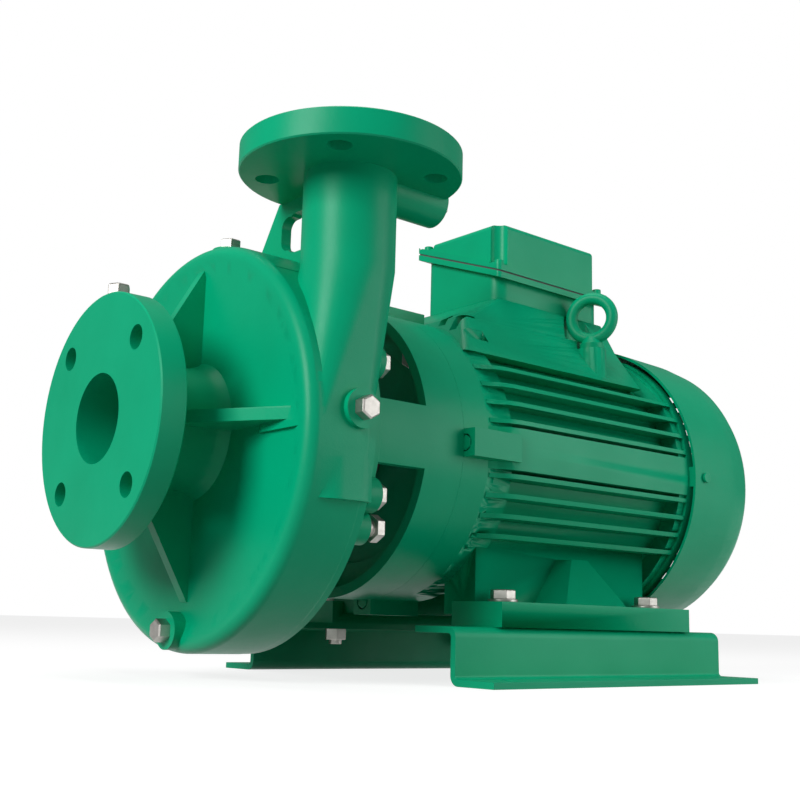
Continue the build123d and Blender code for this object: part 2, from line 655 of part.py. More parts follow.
def rear_end_shield():
    """Rear motor end with its bearing seat and four lugs that carry the fan cover."""
    body = rod_x(FIN_TIP_R - 12, BODY_END, END_BELL_END)
    body -= ring_x(FIN_TIP_R - 24, REAR_BEARING_OUT + 9, BODY_END - 1, BODY_END + 6)
    body += rod_x(REAR_BEARING_OUT + 9, REAR_BEARING_X - 4, END_BELL_END)
    lug_x = (BODY_END + 3, END_BELL_END + 12)
    for turn in (0, 90, 180, 270):
        lug = block(lug_x, (-9, 9), (FIN_TIP_R - 22, COVER_FIT_R))
        body += Rot(turn, 0, 0) * (lug & rod_x(COVER_FIT_R, *lug_x))
    body -= rod_x(REAR_BEARING_OUT + SEAT_GAP, REAR_BEARING_X - 5, REAR_BEARING_X + BEARING_W)
    body -= rod_x(REAR_BEARING_R + 0.5, REAR_BEARING_X, END_BELL_END + 1)
    for y, z in BELL_SCREW_PLACES:
        body -= rod_x(M10_R - 1 + BOLT_GAP, BODY_END - 1, END_BELL_END + 1, y, z)
    for turn in (0, 90, 180, 270):
        body -= Rot(turn, 0, 0) * rod_z(2.5 + THREAD_GAP, COVER_SCREW_X, 0, COVER_FIT_R - 12, 140)
    return body


def fan_cover():
    """Thin cowl with a rounded rear edge and a slotted grille."""
    taper_x = (COVER_FRONT + COVER_REAR) / 2 + 12
    outer = turned((COVER_FRONT, 0), (COVER_FRONT, COVER_R), (taper_x, COVER_R - 2),
                   (COVER_REAR - 12, COVER_R - 5), (COVER_REAR - 3, COVER_REAR_R + 2),
                   (COVER_REAR, COVER_REAR_R - 3), (COVER_REAR, 0))
    wall = COVER_WALL
    inner = turned((COVER_FRONT - 1, 0), (COVER_FRONT - 1, COVER_R - wall),
                   ((COVER_FRONT + taper_x) / 2, COVER_R - wall), (taper_x, COVER_R - 2 - wall),
                   (COVER_REAR - 12 - wall, COVER_R - 5 - wall),
                   (COVER_REAR - 3 - wall, COVER_REAR_R - wall),
                   (COVER_REAR - wall, COVER_REAR_R - 8), (COVER_REAR - wall, 0))
    body = outer - inner
    pitch = 2 * GRILLE_SLOT
    for i in range(-8, 9):
        z = pitch * i
        reach = sqrt((COVER_REAR_R - 15) ** 2 - z * z)
        for side in (1, -1):
            y = sorted((side * 5.0, side * reach))
            body -= block((COVER_REAR - 4, COVER_REAR + 1), y, (z - GRILLE_SLOT / 2, z + GRILLE_SLOT / 2))
    for turn in (0, 90, 180, 270):
        body -= Rot(turn, 0, 0) * rod_z(2.5 + 0.3, COVER_SCREW_X, 0, COVER_R - 8, COVER_R + 2)
    return body


def cover_screws():
    """Four small pan-head screws that hold the cowl to the end shield's lugs."""
    screw = rod_z(4.5, COVER_SCREW_X, 0, COVER_R, COVER_R + 2.4)
    screw += rod_z(2.5, COVER_SCREW_X, 0, COVER_FIT_R - 10, COVER_R + 1)
    return Compound(children=[Rot(turn, 0, 0) * screw for turn in (0, 90, 180, 270)])


def cooling_fan():
    """Fan with straight radial blades, so that it moves air in either sense."""
    hub = ring_x(26, FAN_SEAT_R, FAN_FRONT, FAN_FRONT + FAN_WIDTH)
    disc = ring_x(FAN_R, 25, FAN_FRONT, FAN_FRONT + 4)
    body = hub + disc
    blade = block((FAN_FRONT + 3, FAN_FRONT + FAN_WIDTH), (-1.5, 1.5), (25, FAN_R))
    for i in range(FAN_BLADES):
        body += Rot(360.0 * i / FAN_BLADES, 0, 0) * blade
    return body


def bearing(name, x, shaft_r, out_r):
    """Inner race on the shaft and outer race in its seat, split at a running gap."""
    gap_r = shaft_r + RACE_T
    keep(name + "_inner_race", ring_x(gap_r, shaft_r, x, x + BEARING_W))
    keep(name + "_outer_race", ring_x(out_r, gap_r + RUN_GAP, x, x + BEARING_W))


def stator_and_rotor():
    core_in = ROTOR_R + AIR_GAP
    keep("stator_core", ring_x(BODY_IN_R, core_in, CORE_FRONT, CORE_REAR))
    front = (CORE_FRONT - WINDING_LENGTH, CORE_FRONT)
    rear = (CORE_REAR, CORE_REAR + WINDING_LENGTH)
    coils = [ring_x(BODY_IN_R - 5, core_in + 4, *span) for span in (front, rear)]
    keep("stator_windings", Compound(children=coils))
    core = ring_x(ROTOR_R, CORE_SEAT_R, CORE_FRONT, CORE_REAR)
    core += ring_x(ROTOR_R - 6, ROTOR_R - 20, CORE_FRONT - 10, CORE_REAR + 10)
    keep("rotor_core", core)


def seam_plane(offset):
    """Inclined parting plane of the terminal box, offset along its normal."""
    lean = SEAM_RISE / BOX_HALF
    normal = Vector(0, -lean, 1).normalized()
    return Plane(origin=Vector(0, 0, SEAM_Z) + normal * offset, x_dir=(1, 0, 0), z_dir=normal)


def below(plane, shape):
    return split(shape, bisect_by=plane, keep=Keep.BOTTOM)


def above(plane, shape):
    return split(shape, bisect_by=plane, keep=Keep.TOP)


def box_blank(grow, z0, z1, corner):
    middle = (BOX_X0 + BOX_X1) / 2
    plan = RectangleRounded(BOX_X1 - BOX_X0 + 2 * grow, 2 * (BOX_HALF + grow), corner)
    return extrude(Pos(middle, 0, z0) * plan, z1 - z0)


def terminal_box():
    """Base, gasket and lid, parted on an inclined plane, with screws and terminal block."""
    low, high = BOX_BOTTOM, BOX_TOP
    lower = below(seam_plane(0), box_blank(0, low, high + 20, 8))
    rim = box_blank(BOX_RIM, low, high + 30, 10)
    lower += above(seam_plane(-LIP_T), below(seam_plane(0), rim))
    hollow = box_blank(-BOX_WALL, low + BOX_WALL, high + 30, 6)
    lower -= hollow
    upper = above(seam_plane(BOX_GASKET), box_blank(0, low, high, 8))
    crown = upper.edges().group_by(Axis.Z)[-1]
    upper = fillet(crown, 6)
    upper += below(seam_plane(BOX_GASKET + LIP_T), above(seam_plane(BOX_GASKET), rim))
    upper -= box_blank(-BOX_WALL, low, high - BOX_WALL, 6)
    seal = below(seam_plane(BOX_GASKET), above(seam_plane(0), box_blank(BOX_RIM - 1, low, high + 30, 9)))
    seal -= hollow
    screws = []
    lip_top = seam_plane(BOX_GASKET + LIP_T)
    for x in (BOX_X0 + BOX_SCREW_IN, BOX_X1 - BOX_SCREW_IN):
        for y in (-BOX_HALF + BOX_SCREW_IN, BOX_HALF - BOX_SCREW_IN):
            place = Location(lip_top) * Pos(x, y, 0)
            upper -= place * Pos(0, 0, 30) * Cylinder(BOX_POCKET_R, 60)
            for piece_r, piece in ((BOX_SCREW_R + 0.3, "lid"), (BOX_SCREW_R + THREAD_GAP, "base")):
                hole = place * Pos(0, 0, -8) * Cylinder(piece_r, 18)
                if piece == "lid":
                    upper -= hole
                    seal -= hole
                else:
                    lower -= hole
            screw = Pos(0, 0, 1.6) * Cylinder(BOX_SCREW_R * 2, 3.2) + Pos(0, 0, -8) * Cylinder(BOX_SCREW_R, 16)
            screws.append(place * screw)
    keep("terminal_box_lid", upper)
    keep("terminal_box_gasket", seal)
    keep("terminal_box_screws", Compound(children=screws))
    for x in (BOX_X0 + 40, BOX_X1 - 40):
        lower -= rod_y(10.0, x, BOX_HALF - 10, BOX_HALF + 1, BOX_BOTTOM + 24)
    keep("terminal_box_base", lower)
    plugs = [rod_y(9.9, x, BOX_HALF - BOX_WALL, BOX_HALF, BOX_BOTTOM + 24)
             + rod_y(13.0, x, BOX_HALF, BOX_HALF + 5, BOX_BOTTOM + 24)
             for x in (BOX_X0 + 40, BOX_X1 - 40)]
    keep("cable_entry_plugs", Compound(children=plugs))
    middle = (BOX_X0 + BOX_X1) / 2
    floor = BOX_BOTTOM + BOX_WALL
    base = block((middle - 32, middle + 32), (-20, 20), (floor, floor + 10))
    for i in range(3):
        for y in (-10, 10):
            base += rod_z(3.0, middle - 20 + 20 * i, y, floor + 9, floor + 22)
    keep("terminal_block", base)


def eye_bolt():
    """Lifting eye: collar, shank and tapered-neck ring, turned in its boss."""
    wire = (EYE_RING_OUT - EYE_RING_IN) / 2
    middle_r = (EYE_RING_OUT + EYE_RING_IN) / 2
    ring = Pos(0, 0, EYE_RING_OUT + 5) * Rot(90, 0, 0) * Torus(middle_r, wire)
    collar = Pos(0, 0, 3) * Cylinder(11, 6)
    shank = Pos(0, 0, -7) * Cylinder(M12_R, 14)
    return pointing(EYE_X, EYE_Y, EYE_SEAT, (0, 0, 1)) * Rot(0, 0, EYE_TILT) * (ring + collar + shank)


def rail(side):
    """Bent Z rail: top flange inward under the feet, web down, floor flange outward."""
    web = FOOT_Y
    top = FOOT_BOTTOM
    t = RAIL_T
    outline = Polygon((web - RAIL_TOP_IN, top - t), (web - RAIL_TOP_IN, top), (web, top),
                      (web, FLOOR_Z + t), (web + RAIL_FOOT_OUT, FLOOR_Z + t),
                      (web + RAIL_FOOT_OUT, FLOOR_Z), (web - t, FLOOR_Z), (web - t, top - t),
                      align=None)
    face = Plane(origin=(RAIL_X0, 0, 0), x_dir=(0, 1, 0), z_dir=(1, 0, 0)) * outline
    body = extrude(face, RAIL_X1 - RAIL_X0, dir=(1, 0, 0))
    body = fillet(bends(body, (web, top), (web - t, FLOOR_Z)), RAIL_BEND)
    body = fillet(bends(body, (web - t, top - t), (web, FLOOR_Z + t)), RAIL_BEND - t)
    for x in FOOT_BOLT_X:
        body -= rod_z(M12_R + BOLT_GAP, x, FOOT_BOLT_Y, top - t - 1, top + 1)
    for x in ANCHOR_X:
        body -= rod_z(ANCHOR_R, x, web + RAIL_FOOT_OUT / 2 + 3, FLOOR_Z - 1, FLOOR_Z + t + 1)
    return body if side > 0 else mirror(body, Plane.XZ)


def bends(body, *corners):
    """Edges along X that pass through the given (y, z) corners."""
    found = []
    for edge in body.edges().filter_by(Axis.X):
        middle = edge.center()
        if any(abs(middle.Y - y) < 0.01 and abs(middle.Z - z) < 0.01 for y, z in corners):
            found.append(edge)
    return found


def foot_fasteners():
    bolts, washers, nuts = [], [], []
    head_z = FOOT_TOP + WASHER_T
    nut_z = FOOT_BOTTOM - RAIL_T
    for x in FOOT_BOLT_X:
        for side in (1, -1):
            y = side * FOOT_BOLT_Y
            place = pointing(x, y, head_z, (0, 0, 1))
            bolts.append(hex_screw(place, M12_R, head_z - nut_z + 14, M12_AF, M12_HEAD))
            washers.append(rod_z(WASHER_R, x, y, FOOT_TOP, head_z) - rod_z(M12_R + 0.4, x, y, -200, 0))
            flats = Pos(x, y, nut_z - 10) * RegularPolygon(M12_AF / 2, 6, major_radius=False)
            nuts.append(extrude(flats, 10) - rod_z(M12_R, x, y, -200, 0))
    keep("foot_bolts", Compound(children=bolts))
    keep("foot_washers", Compound(children=washers))
    keep("foot_nuts", Compound(children=nuts))


def build():
    keep("volute_casing", volute_casing())
    keep("casing_wear_ring", wear_ring())
    keep("impeller", impeller())
    keep("impeller_key", shaft_key())
    keep("impeller_nut", impeller_nut())
    keep("shaft", shaft())
    mechanical_seal()
    keep("casing_cover", casing_cover())
    keep("casing_gasket", ring_x(COVER_FLANGE_R, COVER_BORE_R, REGISTER_FACE, COVER_FACE))
    keep("lantern", lantern())
    screws_x("casing_bolts", CASING_BOLT_PLACES, LANTERN_BACK, M12_R,
             LANTERN_FLANGE_T + SCREW_DEPTH - 1, M12_AF, M12_HEAD, 1)
    screws_x("forcing_screws", FORCING_PLACES, LANTERN_BACK + FORCING_PROUD, M12_R,
             LANTERN_FLANGE_T + FORCING_PROUD, M12_AF, M12_HEAD, 1)
    screws_x("lug_screws", lug_places(), MOTOR_FACE + 4, M10_R - 1, LUG_SCREW_LENGTH, 11.0, 4.0, -1)
    screws_x("end_bell_screws", BELL_SCREW_PLACES, END_BELL_END, M10_R - 1, END_BELL_END - BODY_END + 18,
             13.0, 5.3, 1)
    screws_x("motor_flange_bolts", MOTOR_BOLT_PLACES, MOTOR_FACE - LANTERN_FLANGE_T, M10_R,
             LANTERN_FLANGE_T + 20, M10_AF, M10_HEAD, -1)
    keep("suction_plug", plug(SUCTION_TAP))
    keep("discharge_plug", plug(DISCHARGE_TAP))
    keep("vent_plug", plug(VENT_TAP))
    keep("side_plug", plug(SIDE_TAP))
    keep("drain_plug", plug(DRAIN_TAP))
    keep("deflector_ring", deflector_ring())
    keep("drive_end_shield", drive_end_shield())
    keep("motor_housing", motor_housing())
    keep("rear_end_shield", rear_end_shield())
    keep("fan_cover", fan_cover())
    keep("cooling_fan", cooling_fan())
    fan_end = FAN_FRONT + FAN_WIDTH
    keep("fan_retaining_ring", ring_x(FAN_SEAT_R + 3, FAN_SEAT_R, fan_end, fan_end + 2))
    keep("fan_cover_screws", cover_screws())
    bearing("drive_bearing", DRIVE_BEARING_X, DRIVE_BEARING_R, DRIVE_BEARING_OUT)
    bearing("rear_bearing", REAR_BEARING_X, REAR_BEARING_R, REAR_BEARING_OUT)
    stator_and_rotor()
    terminal_box()
    keep("eye_bolt", eye_bolt())
    keep("near_rail", rail(-1))
    keep("far_rail", rail(1))
    foot_fasteners()


build()
os.makedirs("parts", exist_ok=True)
for node, shape in PARTS.items():
    export_step(shape, "parts/" + node + ".step")
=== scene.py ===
"""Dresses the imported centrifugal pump: enamelled castings, zinc hardware, steel rails, studio. Metres."""
import json
from math import cos, radians, sin

import bpy
from mathutils import Matrix, Vector


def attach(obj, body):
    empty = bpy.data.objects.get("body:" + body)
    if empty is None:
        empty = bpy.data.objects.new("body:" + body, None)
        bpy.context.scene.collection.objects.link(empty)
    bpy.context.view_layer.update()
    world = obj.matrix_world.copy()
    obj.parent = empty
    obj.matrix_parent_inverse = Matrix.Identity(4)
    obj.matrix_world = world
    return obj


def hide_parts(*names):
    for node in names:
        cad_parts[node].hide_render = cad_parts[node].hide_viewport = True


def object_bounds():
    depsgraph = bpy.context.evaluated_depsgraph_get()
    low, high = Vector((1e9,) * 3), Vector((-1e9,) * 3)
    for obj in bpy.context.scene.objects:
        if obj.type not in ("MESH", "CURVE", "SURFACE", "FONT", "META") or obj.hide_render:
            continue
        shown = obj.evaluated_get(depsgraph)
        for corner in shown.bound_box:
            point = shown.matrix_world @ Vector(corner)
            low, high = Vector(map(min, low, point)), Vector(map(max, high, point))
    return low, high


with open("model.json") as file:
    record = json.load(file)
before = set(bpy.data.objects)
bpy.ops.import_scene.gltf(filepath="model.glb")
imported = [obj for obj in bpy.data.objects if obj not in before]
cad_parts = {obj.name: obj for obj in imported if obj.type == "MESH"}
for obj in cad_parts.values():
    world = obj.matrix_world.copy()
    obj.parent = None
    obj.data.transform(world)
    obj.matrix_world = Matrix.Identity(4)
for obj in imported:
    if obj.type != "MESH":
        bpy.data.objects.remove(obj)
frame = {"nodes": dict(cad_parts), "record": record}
cad_low, cad_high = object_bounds()

# Camera of the photograph, in the frame of the part
CAMERA_PLACE = Vector((-0.37043, -0.77318, -0.13875))
CAMERA_YAW = 0.702
CAMERA_PITCH = 0.188
CAMERA_ROLL = 0.026
LENS_MM = 52.92
SENSOR_MM = 36.0

FLOOR_Z = cad_low.z
MM = 0.001

# Edge rounding of each kind of piece, in metres
CAST_EDGE = 1.6 * MM
SHEET_EDGE = 0.5 * MM
TURNED_EDGE = 0.6 * MM
BOLT_EDGE = 0.5 * MM

CASTINGS = ("lantern", "drive_end_shield")
HARDWARE = ("casing_bolts", "forcing_screws", "motor_flange_bolts", "end_bell_screws", "foot_bolts",
            "foot_washers", "foot_nuts", "suction_plug", "discharge_plug", "vent_plug", "side_plug",
            "drain_plug")
PAINTED_SCREWS = ("lug_screws", "fan_cover_screws")

# Places of the reshaped castings, in millimetres. Pump end
SHAFT_LINE = (0.0, 0.0)
SKIN = 0.25
DRUM_R, DRUM_DROP, DRUM_REAR, DRUM_RIM = 154.0, 10.5, 133.0, 7.0
REGISTER_R, REGISTER_FACE, COVER_BORE_R = 138.0, 148.0, 106.0
LANTERN_CLEARANCE_R = 142.0
BRANCH_X, BRANCH_Y, PIPE_R, BRANCH_BORE_R = 130.0, -118.5, 34.4, 26.0
THROAT_TOP, FLANGE_LOW, PLUG_BOSS_TOP = 112.0, 183.0, 19.0
THROAT_FOOT = {"x": (77.0, 132.5), "y": (-153.8, -85.8), "corner": 10.0}
PASSAGE_FOOT = {"x": (89.0, 123.5), "y": (-144.8, -94.8), "corner": 5.0}
WEB_HOLE_X, WEB_HOLE_Y, WEB_HOLE_Z, WEB_HOLE_CORNER = (118, 140), (-84, -44), (140, 172), 12.0

# Motor end
RING_R, RING_WALL, RING_START, RING_END = 120.0, 16, 280, 302.0
LUG_HALF, LUG_R, LUG_DEPTH, LUG_END = 11.0, 132.0, 20, 300.0
END_FLANGE_R, END_FLANGE_IN_R, END_FLANGE_X = 129.8, 100.0, (520.5, 529)
SADDLE_POCKETS = ((-40, 124), (-59, 115), (-77, 106))
POCKET_X, POCKET_HALF_Y, POCKET_HALF_Z = (290, 312), 4.5, 8
EYE_X, EYE_Y, EYE_SEAT, EYE_TURN = 453.0, -74.0, 116.0, -67.0
EYE_RISE, EYE_MIDDLE_R, EYE_WIRE_R = 30, 19.5, 5.5
EYE_NECK = {"radius1": 10.5 * MM, "radius2": 6.5 * MM, "depth": 7 * MM}
EYE_NECK_RISE, EYE_COLLAR_R, EYE_RELIEF_R, EYE_RELIEF_RISE = 8, 11.0, 26.0, 9

# Terminal box
BOX_X, BOX_HALF, BOX_LOW, BOX_TOP = (354.0, 493.0), 50.0, 150.0, 223.0
SEAM_Z, SEAM_LEAN, LIP, BOX_RIM, SEAL = 194.0, 0.36, 5.0, 6.0, 1.5
BLANK_LOW, BLANK_HIGH = 120, 260
BOX_EDGE = 1.0 * MM
BASE_CORNER, RIM_CORNER, SEAL_CORNER, LID_CORNER, LID_TOP_EDGE = 13.0, 4.0, 3.0, 8.0, 5.0
SCREW_IN, SCREW_R, SCREW_SUNK, SCREW_PROUD, LID_POCKET_R = 2, 4.2, 3, 3.2, 9.0


def node_tree(name):
    """A new material, its shader and a function that adds a node to it."""
    material = bpy.data.materials.new(name)
    material.use_nodes = True
    tree = material.node_tree
    shader = tree.nodes["Principled BSDF"]

    def add(kind, **values):
        node = tree.nodes.new(kind)
        for key, value in values.items():
            if key in node.inputs:
                node.inputs[key].default_value = value
            else:
                setattr(node, key, value)
        return node

    return material, tree, shader, add


def noise(tree, add, place, scale, detail=3.0, rough=0.55):
    node = add("ShaderNodeTexNoise", Scale=scale, Detail=detail, Roughness=rough)
    tree.links.new(place.outputs["Object"], node.inputs["Vector"])
    return node.outputs["Fac"]


def spread(tree, add, source, low, high, from_low=0.3, from_high=0.7):
    """The source's middle range stretched over low to high."""
    node = add("ShaderNodeMapRange", **{"From Min": from_low, "From Max": from_high,
                                        "To Min": low, "To Max": high})
    tree.links.new(source, node.inputs["Value"])
    return node.outputs["Result"]


def two_tone(tree, add, factor, one, other):
    node = add("ShaderNodeMix", data_type="RGBA")
    node.inputs["A"].default_value = (*one, 1.0)
    node.inputs["B"].default_value = (*other, 1.0)
    tree.links.new(factor, node.inputs["Factor"])
    return node.outputs["Result"]


def bumps(tree, add, shader, layers):
    """Stacked bumps, each (height source, strength, depth in metres)."""
    last = None
    for source, strength, depth in layers:
        node = add("ShaderNodeBump", Strength=strength, Distance=depth)
        tree.links.new(source, node.inputs["Height"])
        if last is not None:
            tree.links.new(last, node.inputs["Normal"])
        last = node.outputs["Normal"]
    tree.links.new(last, shader.inputs["Normal"])


def enamel(name, light, dark, sand, roughness):
    """Sprayed green enamel: slow tone drift, orange peel, and the sand-cast skin beneath it."""
    material, tree, shader, add = node_tree(name)
    place = add("ShaderNodeTexCoord")
    drift = noise(tree, add, place, 14.0)
    tone = spread(tree, add, drift, 0.0, 1.0)
    tree.links.new(two_tone(tree, add, tone, light, dark), shader.inputs["Base Color"])
    peel = noise(tree, add, place, 420.0, 2.0)
    grit = noise(tree, add, place, 1100.0, 4.0, 0.7)
    wave = noise(tree, add, place, 55.0, 2.0)
    tree.links.new(spread(tree, add, drift, roughness - 0.05, roughness + 0.06),
                   shader.inputs["Roughness"])
    shader.inputs["Specular IOR Level"].default_value = 0.16
    bumps(tree, add, shader, [(wave, 0.10 * sand, 1.2 * MM), (grit, 0.30 * sand, 0.25 * MM),
                              (peel, 0.25, 0.2 * MM)])
    return material


def metal(name, colour, shade, roughness, grain=900.0):
    """Plated or ground steel with a faintly mottled grain."""
    material, tree, shader, add = node_tree(name)
    place = add("ShaderNodeTexCoord")
    patch = noise(tree, add, place, 160.0, 4.0)
    fine = noise(tree, add, place, grain, 4.0, 0.7)
    tree.links.new(two_tone(tree, add, spread(tree, add, patch, 0.0, 1.0), colour, shade),
                   shader.inputs["Base Color"])
    tree.links.new(spread(tree, add, fine, roughness - 0.08, roughness + 0.1),
                   shader.inputs["Roughness"])
    shader.inputs["Metallic"].default_value = 1.0
    bumps(tree, add, shader, [(fine, 0.2, 0.12 * MM)])
    return material


def moulded(name, colour, shade, roughness):
    """Moulded plastic, rubber or gasket sheet with a fine texture."""
    material, tree, shader, add = node_tree(name)
    place = add("ShaderNodeTexCoord")
    patch = noise(tree, add, place, 60.0)
    fine = noise(tree, add, place, 1500.0, 2.0)
    tree.links.new(two_tone(tree, add, spread(tree, add, patch, 0.0, 1.0), colour, shade),
                   shader.inputs["Base Color"])
    tree.links.new(spread(tree, add, patch, roughness - 0.05, roughness + 0.07),
                   shader.inputs["Roughness"])
    bumps(tree, add, shader, [(fine, 0.25, 0.1 * MM)])
    return material


GREEN = (0.0, 0.410, 0.200)
GREEN_DARK = (0.0, 0.365, 0.176)
FINISHES = {
    "green_enamel": enamel("green_enamel", GREEN, GREEN_DARK, 1.0, 0.34),
    "rail_enamel": enamel("rail_enamel", GREEN, GREEN_DARK, 0.25, 0.36),
    "zinc_steel": metal("zinc_steel", (0.52, 0.50, 0.47), (0.40, 0.39, 0.36), 0.42),
    "shaft_steel": metal("shaft_steel", (0.62, 0.63, 0.65), (0.50, 0.51, 0.53), 0.28),
    "bearing_steel": metal("bearing_steel", (0.72, 0.73, 0.75), (0.62, 0.63, 0.65), 0.2),
    "seal_steel": metal("seal_steel", (0.66, 0.67, 0.68), (0.56, 0.57, 0.58), 0.3),
    "bronze": metal("bronze", (0.60, 0.43, 0.22), (0.50, 0.34, 0.17), 0.35),
    "copper_winding": metal("copper_winding", (0.55, 0.27, 0.12), (0.42, 0.18, 0.08), 0.45),
    "cast_iron_bare": metal("cast_iron_bare", (0.22, 0.22, 0.22), (0.16, 0.16, 0.17), 0.55, 500.0),
    "impeller_iron": metal("impeller_iron", (0.27, 0.26, 0.25), (0.19, 0.18, 0.17), 0.55, 500.0),
    "core_laminations": metal("core_laminations", (0.26, 0.26, 0.28), (0.18, 0.18, 0.20), 0.5),
    "seal_carbon": moulded("seal_carbon", (0.05, 0.05, 0.06), (0.08, 0.08, 0.09), 0.35),
    "gasket_sheet": moulded("gasket_sheet", (0.08, 0.08, 0.08), (0.11, 0.11, 0.10), 0.8),
    "thrower_rubber": moulded("thrower_rubber", (0.03, 0.03, 0.03), (0.05, 0.05, 0.05), 0.6),
    "fan_plastic": moulded("fan_plastic", (0.04, 0.04, 0.04), (0.06, 0.06, 0.06), 0.5),
    "plug_plastic": moulded("plug_plastic", (0.05, 0.05, 0.05), (0.08, 0.08, 0.08), 0.5),
    "terminal_plastic": moulded("terminal_plastic", (0.30, 0.10, 0.07), (0.24, 0.08, 0.05), 0.5),
}
SLOT_OF = {row["node"]: row["material_slot"] for row in frame["record"]["subparts"]}
BODY_OF = {node: body for body, nodes in frame["record"]["behaviour"]["bodies"].items()
           for node in nodes}


def paint(piece, slot):
    piece.data.materials.clear()
    piece.data.materials.append(FINISHES[slot])


def pick(piece):
    """Selects this piece alone and makes it the active one."""
    bpy.ops.object.select_all(action="DESELECT")
    piece.select_set(True)
    bpy.context.view_layer.objects.active = piece


def flatten(piece):
    """Joins the triangles that lie in one plane into whole faces."""
    pick(piece)
    bpy.ops.object.mode_set(mode="EDIT")
    bpy.ops.mesh.select_all(action="SELECT")
    bpy.ops.mesh.dissolve_limited(angle_limit=radians(0.6))
    bpy.ops.object.mode_set(mode="OBJECT")
    return piece


def copy_of(node, name):
    """A free copy of a CAD node's mesh, its loose triangles merged."""
    source = frame["nodes"][node]
    piece = bpy.data.objects.new(name, source.data.copy())
    bpy.context.scene.collection.objects.link(piece)
    pick(piece)
    bpy.ops.object.mode_set(mode="EDIT")
    bpy.ops.mesh.select_all(action="SELECT")
    bpy.ops.mesh.remove_doubles(threshold=0.002 * MM)
    bpy.ops.object.mode_set(mode="OBJECT")
    return piece


def round_edges(piece, width, segments=2, limit=32.0):
    """Rounds every sharp edge and shades the result as one skin."""
    flatten(piece)
    pick(piece)
    bevel = piece.modifiers.new("edges", "BEVEL")
    bevel.width = width
    bevel.segments = segments
    bevel.limit_method = "ANGLE"
    bevel.angle_limit = radians(limit)
    bpy.ops.object.modifier_apply(modifier=bevel.name)
    bpy.ops.object.shade_smooth_by_angle(angle=radians(42))
    normals = piece.modifiers.new("normals", "WEIGHTED_NORMAL")
    normals.keep_sharp = True
    bpy.ops.object.modifier_apply(modifier=normals.name)
    return piece


def stand_for(piece, node, slot=None):
    """Finishes a piece and lets it stand for its node."""
    slot = slot or SLOT_OF[node]
    paint(piece, slot)
    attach(piece, BODY_OF[node])
    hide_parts(node)
    return piece


def dress(node, width, slot=None):
    """The CAD node's own shape with its edges rounded, standing for the node."""
    return stand_for(round_edges(copy_of(node, node + "_skin"), width), node, slot)


def settle(piece):
    """Puts a piece's place, turn and scale into its mesh."""
    pick(piece)
    bpy.ops.object.transform_apply(location=True, rotation=True, scale=True)
    return piece


def block(x, y, z, turn=0.0):
    """Block between limits in millimetres, turned about the shaft line by degrees."""
    bpy.ops.object.select_all(action="DESELECT")
    middle = [(low + high) / 2 * MM for low, high in (x, y, z)]
    bpy.ops.mesh.primitive_cube_add(size=1.0, location=middle)
    piece = bpy.context.object
    piece.scale = [(high - low) * MM for low, high in (x, y, z)]
    settle(piece)
    piece.rotation_euler.x = radians(turn)
    return settle(piece)


def rod(axis, r, span, centre, sides=128):
    """Cylinder along X or Z, in millimetres; centre holds the other two coordinates in order."""
    bpy.ops.object.select_all(action="DESELECT")
    middle = (span[0] + span[1]) / 2
    place = (middle, *centre) if axis == "x" else (*centre, middle)
    bpy.ops.mesh.primitive_cylinder_add(vertices=sides, radius=r * MM, depth=(span[1] - span[0]) * MM,
                                        location=[value * MM for value in place],
                                        rotation=(0, radians(90) if axis == "x" else 0, 0))
    return settle(bpy.context.object)


def combine(piece, operation, *tools):
    """Adds (UNION) or takes away (DIFFERENCE) each tool in turn."""
    for tool in tools:
        pick(piece)
        change = piece.modifiers.new("change", "BOOLEAN")
        change.operation = operation
        change.solver = "EXACT"
        change.object = tool
        bpy.ops.object.modifier_apply(modifier=change.name)
        bpy.data.objects.remove(tool, do_unlink=True)
    return piece


def tube(r_out, r_in, span, centre=SHAFT_LINE):
    return combine(rod("x", r_out, span, centre), "DIFFERENCE",
                   rod("x", r_in, (span[0] - 1, span[1] + 1), centre))


def round_upright(piece, width, segments=6, top=None, top_width=0.0):
    """Rounds a block's upright edges, then the rim of its top face."""
    for wanted, amount in ((None, width), (top, top_width)):
        if amount == 0.0:
            continue
        pick(piece)
        bpy.context.tool_settings.mesh_select_mode = (False, True, False)
        bpy.ops.object.mode_set(mode="EDIT")
        bpy.ops.mesh.select_all(action="DESELECT")
        bpy.ops.object.mode_set(mode="OBJECT")
        points = piece.data.vertices
        for edge in piece.data.edges:
            one, other = (points[i].co for i in edge.vertices)
            if wanted is None:
                edge.select = abs(one.x - other.x) + abs(one.y - other.y) < 1e-6
            else:
                edge.select = min(one.z, other.z) > wanted * MM - 1e-6
        bpy.ops.object.mode_set(mode="EDIT")
        bpy.ops.mesh.bevel(offset=amount * MM, segments=segments, affect="EDGES")
        bpy.ops.object.mode_set(mode="OBJECT")
    return piece


